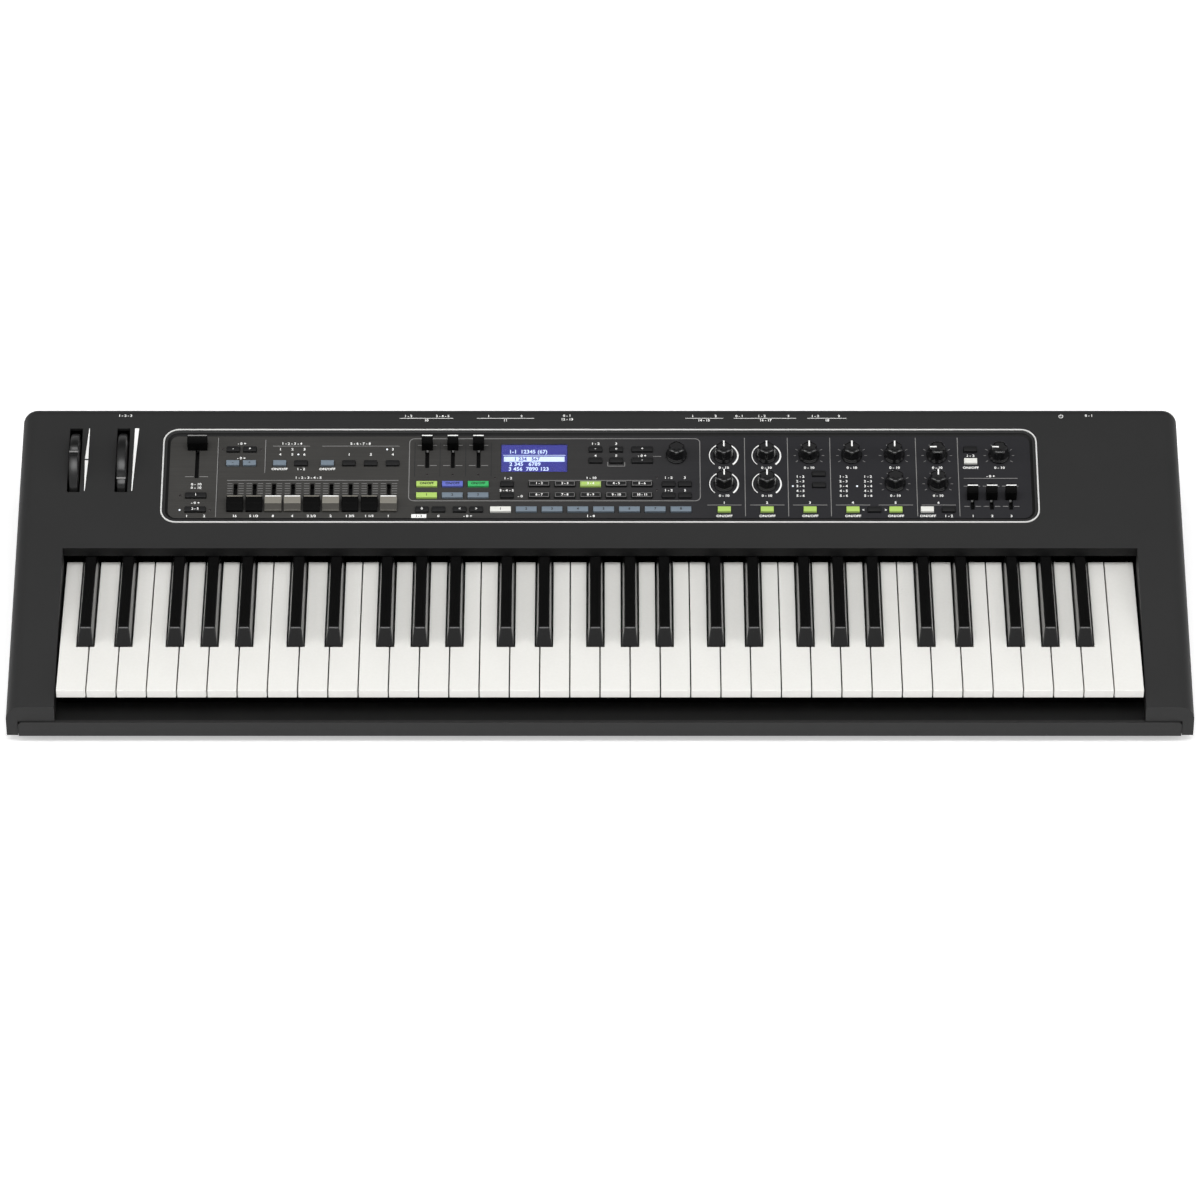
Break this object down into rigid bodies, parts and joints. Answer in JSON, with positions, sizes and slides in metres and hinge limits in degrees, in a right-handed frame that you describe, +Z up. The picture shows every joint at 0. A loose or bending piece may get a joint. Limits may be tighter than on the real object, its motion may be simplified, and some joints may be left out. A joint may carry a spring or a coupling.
{
  "type": "synthesizer",
  "caption": "Slim stage synthesizer with piano-size keys, a sloping recessed control panel, two performance wheels, knobs, drawbars and rear sockets.",
  "frame": {"origin": "middle of the footprint, on the plane of the bottoms of the feet", "axes": "+X to the player's right along the keys, +Y away from the player, +Z up"},
  "size_m": [0.928, 0.287, 0.1027],
  "materials": {
    "case_plastic": "fine matte texture",
    "dark_plastic": "matte",
    "panel_metal": "dark brushed paint",
    "trim_metal": "satin line on a dark band",
    "display_window": "clear blue window",
    "display_module": "blue backlit screen",
    "circuit_board": "solder mask",
    "component_metal": "satin",
    "socket_plastic": "matte",
    "socket_metal": "satin",
    "speaker_black": "matte",
    "battery_shell": "satin",
    "foot_rubber": "matte",
    "screw_steel": "black zinc",
    "frame_plastic": "matte, ribbed moulding",
    "felt": "felt",
    "wheel_plastic": "satin",
    "knob_plastic": "satin",
    "drawbar_plastic": "satin, dark and light caps",
    "button_plastic": "satin, in several colours",
    "key_white": "semi gloss",
    "key_black": "semi gloss"
  },
  "bodies": {
    "case_body": {"top_case": "case_plastic", "bottom_case": "case_plastic", "key_slip": "dark_plastic", "control_panel": "panel_metal", "panel_trim": "trim_metal", "display_window": "display_window", "display_module": "display_module", "panel_board": "circuit_board", "potentiometers": "component_metal", "circuit_boards": "circuit_board", "phone_jacks": "socket_plastic", "data_sockets": "socket_metal", "power_socket": "socket_plastic", "speakers": "speaker_black", "batteries": "battery_shell", "battery_cover": "case_plastic", "rubber_feet": "foot_rubber", "case_screws": "screw_steel", "key_frame": "frame_plastic", "key_felts": "felt", "contact_board": "circuit_board", "wheel_bracket": "dark_plastic"},
    "c_keys_body": {"c_keys": "key_white"},
    "c_sharp_keys_body": {"c_sharp_keys": "key_black"},
    "d_keys_body": {"d_keys": "key_white"},
    "d_sharp_keys_body": {"d_sharp_keys": "key_black"},
    "e_keys_body": {"e_keys": "key_white"},
    "f_keys_body": {"f_keys": "key_white"},
    "f_sharp_keys_body": {"f_sharp_keys": "key_black"},
    "g_keys_body": {"g_keys": "key_white"},
    "g_sharp_keys_body": {"g_sharp_keys": "key_black"},
    "a_keys_body": {"a_keys": "key_white"},
    "a_sharp_keys_body": {"a_sharp_keys": "key_black"},
    "b_keys_body": {"b_keys": "key_white"},
    "filter_cutoff_knob_body": {"filter_cutoff_knob": "knob_plastic"},
    "filter_resonance_knob_body": {"filter_resonance_knob": "knob_plastic"},
    "attack_knob_body": {"attack_knob": "knob_plastic"},
    "release_knob_body": {"release_knob": "knob_plastic"},
    "drive_knob_body": {"drive_knob": "knob_plastic"},
    "effect_one_knob_body": {"effect_one_knob": "knob_plastic"},
    "effect_two_knob_body": {"effect_two_knob": "knob_plastic"},
    "effect_type_knob_body": {"effect_type_knob": "knob_plastic"},
    "delay_level_knob_body": {"delay_level_knob": "knob_plastic"},
    "delay_time_knob_body": {"delay_time_knob": "knob_plastic"},
    "reverb_knob_body": {"reverb_knob": "knob_plastic"},
    "data_dial_body": {"data_dial": "knob_plastic"},
    "gain_knob_body": {"gain_knob": "knob_plastic"},
    "pitch_wheel_body": {"pitch_wheel": "wheel_plastic"},
    "modulation_wheel_body": {"modulation_wheel": "wheel_plastic"},
    "master_volume_body": {"master_volume_slider": "knob_plastic"},
    "part_volume_body": {"part_volume_sliders": "knob_plastic"},
    "tone_body": {"tone_sliders": "knob_plastic"},
    "drawbars_body": {"drawbars": "drawbar_plastic"},
    "organ_buttons_body": {"organ_buttons": "button_plastic"},
    "part_buttons_body": {"part_buttons": "button_plastic"},
    "sound_buttons_body": {"sound_buttons": "button_plastic"},
    "live_set_buttons_body": {"live_set_buttons": "button_plastic"},
    "effect_buttons_body": {"effect_buttons": "button_plastic"},
    "power_button_body": {"power_button": "knob_plastic"},
    "speaker_switch_body": {"speaker_switch": "knob_plastic"}
  },
  "joints": [
    {"name": "c_keys_press", "type": "hinge", "parent": "case_body", "child": "c_keys_body", "pos_m": [0, 0.048, 0.0375], "axis": [1, 0, 0], "range_deg": [0, 3.1], "stiffness_Nm_per_rad": 1.5, "springref_deg": -17.19},
    {"name": "c_sharp_keys_press", "type": "hinge", "parent": "case_body", "child": "c_sharp_keys_body", "pos_m": [0, 0.048, 0.0375], "axis": [1, 0, 0], "range_deg": [0, 3.1], "stiffness_Nm_per_rad": 1.5, "springref_deg": -17.19},
    {"name": "d_keys_press", "type": "hinge", "parent": "case_body", "child": "d_keys_body", "pos_m": [0, 0.048, 0.0375], "axis": [1, 0, 0], "range_deg": [0, 3.1], "stiffness_Nm_per_rad": 1.5, "springref_deg": -17.19},
    {"name": "d_sharp_keys_press", "type": "hinge", "parent": "case_body", "child": "d_sharp_keys_body", "pos_m": [0, 0.048, 0.0375], "axis": [1, 0, 0], "range_deg": [0, 3.1], "stiffness_Nm_per_rad": 1.5, "springref_deg": -17.19},
    {"name": "e_keys_press", "type": "hinge", "parent": "case_body", "child": "e_keys_body", "pos_m": [0, 0.048, 0.0375], "axis": [1, 0, 0], "range_deg": [0, 3.1], "stiffness_Nm_per_rad": 1.5, "springref_deg": -17.19},
    {"name": "f_keys_press", "type": "hinge", "parent": "case_body", "child": "f_keys_body", "pos_m": [0, 0.048, 0.0375], "axis": [1, 0, 0], "range_deg": [0, 3.1], "stiffness_Nm_per_rad": 1.5, "springref_deg": -17.19},
    {"name": "f_sharp_keys_press", "type": "hinge", "parent": "case_body", "child": "f_sharp_keys_body", "pos_m": [0, 0.048, 0.0375], "axis": [1, 0, 0], "range_deg": [0, 3.1], "stiffness_Nm_per_rad": 1.5, "springref_deg": -17.19},
    {"name": "g_keys_press", "type": "hinge", "parent": "case_body", "child": "g_keys_body", "pos_m": [0, 0.048, 0.0375], "axis": [1, 0, 0], "range_deg": [0, 3.1], "stiffness_Nm_per_rad": 1.5, "springref_deg": -17.19},
    {"name": "g_sharp_keys_press", "type": "hinge", "parent": "case_body", "child": "g_sharp_keys_body", "pos_m": [0, 0.048, 0.0375], "axis": [1, 0, 0], "range_deg": [0, 3.1], "stiffness_Nm_per_rad": 1.5, "springref_deg": -17.19},
    {"name": "a_keys_press", "type": "hinge", "parent": "case_body", "child": "a_keys_body", "pos_m": [0, 0.048, 0.0375], "axis": [1, 0, 0], "range_deg": [0, 3.1], "stiffness_Nm_per_rad": 1.5, "springref_deg": -17.19},
    {"name": "a_sharp_keys_press", "type": "hinge", "parent": "case_body", "child": "a_sharp_keys_body", "pos_m": [0, 0.048, 0.0375], "axis": [1, 0, 0], "range_deg": [0, 3.1], "stiffness_Nm_per_rad": 1.5, "springref_deg": -17.19},
    {"name": "b_keys_press", "type": "hinge", "parent": "case_body", "child": "b_keys_body", "pos_m": [0, 0.048, 0.0375], "axis": [1, 0, 0], "range_deg": [0, 3.1], "stiffness_Nm_per_rad": 1.5, "springref_deg": -17.19},
    {"name": "filter_cutoff_knob_turn", "type": "hinge", "parent": "case_body", "child": "filter_cutoff_knob_body", "pos_m": [0.099, 0.09558, 0.08998], "axis": [0, 0.2181, -0.9759], "range_deg": [-150, 150]},
    {"name": "filter_resonance_knob_turn", "type": "hinge", "parent": "case_body", "child": "filter_resonance_knob_body", "pos_m": [0.099, 0.06845, 0.08392], "axis": [0, 0.2181, -0.9759], "range_deg": [-150, 150]},
    {"name": "attack_knob_turn", "type": "hinge", "parent": "case_body", "child": "attack_knob_body", "pos_m": [0.13315, 0.09558, 0.08998], "axis": [0, 0.2181, -0.9759], "range_deg": [-150, 150]},
    {"name": "release_knob_turn", "type": "hinge", "parent": "case_body", "child": "release_knob_body", "pos_m": [0.13315, 0.06845, 0.08392], "axis": [0, 0.2181, -0.9759], "range_deg": [-150, 150]},
    {"name": "drive_knob_turn", "type": "hinge", "parent": "case_body", "child": "drive_knob_body", "pos_m": [0.1673, 0.09558, 0.08998], "axis": [0, 0.2181, -0.9759], "range_deg": [-150, 150]},
    {"name": "effect_one_knob_turn", "type": "hinge", "parent": "case_body", "child": "effect_one_knob_body", "pos_m": [0.20145, 0.09558, 0.08998], "axis": [0, 0.2181, -0.9759], "range_deg": [-150, 150]},
    {"name": "effect_two_knob_turn", "type": "hinge", "parent": "case_body", "child": "effect_two_knob_body", "pos_m": [0.2356, 0.09558, 0.08998], "axis": [0, 0.2181, -0.9759], "range_deg": [-150, 150]},
    {"name": "effect_type_knob_turn", "type": "hinge", "parent": "case_body", "child": "effect_type_knob_body", "pos_m": [0.2356, 0.06845, 0.08392], "axis": [0, 0.2181, -0.9759], "range_deg": [-150, 150]},
    {"name": "delay_level_knob_turn", "type": "hinge", "parent": "case_body", "child": "delay_level_knob_body", "pos_m": [0.26975, 0.09558, 0.08998], "axis": [0, 0.2181, -0.9759], "range_deg": [-60, 240]},
    {"name": "delay_time_knob_turn", "type": "hinge", "parent": "case_body", "child": "delay_time_knob_body", "pos_m": [0.26975, 0.06845, 0.08392], "axis": [0, 0.2181, -0.9759], "range_deg": [-150, 150]},
    {"name": "reverb_knob_turn", "type": "hinge", "parent": "case_body", "child": "reverb_knob_body", "pos_m": [0.3195, 0.09558, 0.08998], "axis": [0, 0.2181, -0.9759], "range_deg": [-60, 240]},
    {"name": "data_dial_turn", "type": "hinge", "parent": "case_body", "child": "data_dial_body", "pos_m": [0.0612, 0.09558, 0.08998], "axis": [0, 0.2181, -0.9759], "continuous": true},
    {"name": "gain_knob_turn", "type": "hinge", "parent": "case_body", "child": "gain_knob_body", "pos_m": [0.1115, 0.142, 0.033], "axis": [0, -1, 0], "range_deg": [-140, 140]},
    {"name": "pitch_wheel_turn", "type": "hinge", "parent": "case_body", "child": "pitch_wheel_body", "pos_m": [-0.4202, 0.09396, 0.07066], "axis": [-1, 0, 0], "range_deg": [-40, 40], "stiffness_Nm_per_rad": 0.08},
    {"name": "modulation_wheel_turn", "type": "hinge", "parent": "case_body", "child": "modulation_wheel_body", "pos_m": [-0.3822, 0.09396, 0.07066], "axis": [-1, 0, 0], "range_deg": [0, 84]},
    {"name": "master_volume_slide", "type": "slide", "parent": "case_body", "child": "master_volume_body", "axis": [0, 0.9759, 0.2181], "range_m": [-0.029, 0]},
    {"name": "part_volume_slide", "type": "slide", "parent": "case_body", "child": "part_volume_body", "axis": [0, 0.9759, 0.2181], "range_m": [-0.019, 0]},
    {"name": "tone_slide", "type": "slide", "parent": "case_body", "child": "tone_body", "axis": [0, 0.9759, 0.2181], "range_m": [-0.011, 0.011]},
    {"name": "drawbars_slide", "type": "slide", "parent": "case_body", "child": "drawbars_body", "axis": [0, 0.9759, 0.2181], "range_m": [0, 0.02]},
    {"name": "organ_buttons_press", "type": "slide", "parent": "case_body", "child": "organ_buttons_body", "axis": [0, 0.2181, -0.9759], "range_m": [0, 0.001], "stiffness_N_per_m": 500, "springref_m": -0.002},
    {"name": "part_buttons_press", "type": "slide", "parent": "case_body", "child": "part_buttons_body", "axis": [0, 0.2181, -0.9759], "range_m": [0, 0.001], "stiffness_N_per_m": 500, "springref_m": -0.002},
    {"name": "sound_buttons_press", "type": "slide", "parent": "case_body", "child": "sound_buttons_body", "axis": [0, 0.2181, -0.9759], "range_m": [0, 0.001], "stiffness_N_per_m": 500, "springref_m": -0.002},
    {"name": "live_set_buttons_press", "type": "slide", "parent": "case_body", "child": "live_set_buttons_body", "axis": [0, 0.2181, -0.9759], "range_m": [0, 0.001], "stiffness_N_per_m": 500, "springref_m": -0.002},
    {"name": "effect_buttons_press", "type": "slide", "parent": "case_body", "child": "effect_buttons_body", "axis": [0, 0.2181, -0.9759], "range_m": [0, 0.001], "stiffness_N_per_m": 500, "springref_m": -0.002},
    {"name": "power_button_press", "type": "slide", "parent": "case_body", "child": "power_button_body", "axis": [0, -1, 0], "range_m": [0, 0.0025], "stiffness_N_per_m": 300, "springref_m": -0.004},
    {"name": "speaker_switch_slide", "type": "slide", "parent": "case_body", "child": "speaker_switch_body", "axis": [1, 0, 0], "range_m": [0, 0.0036]}
  ]
}
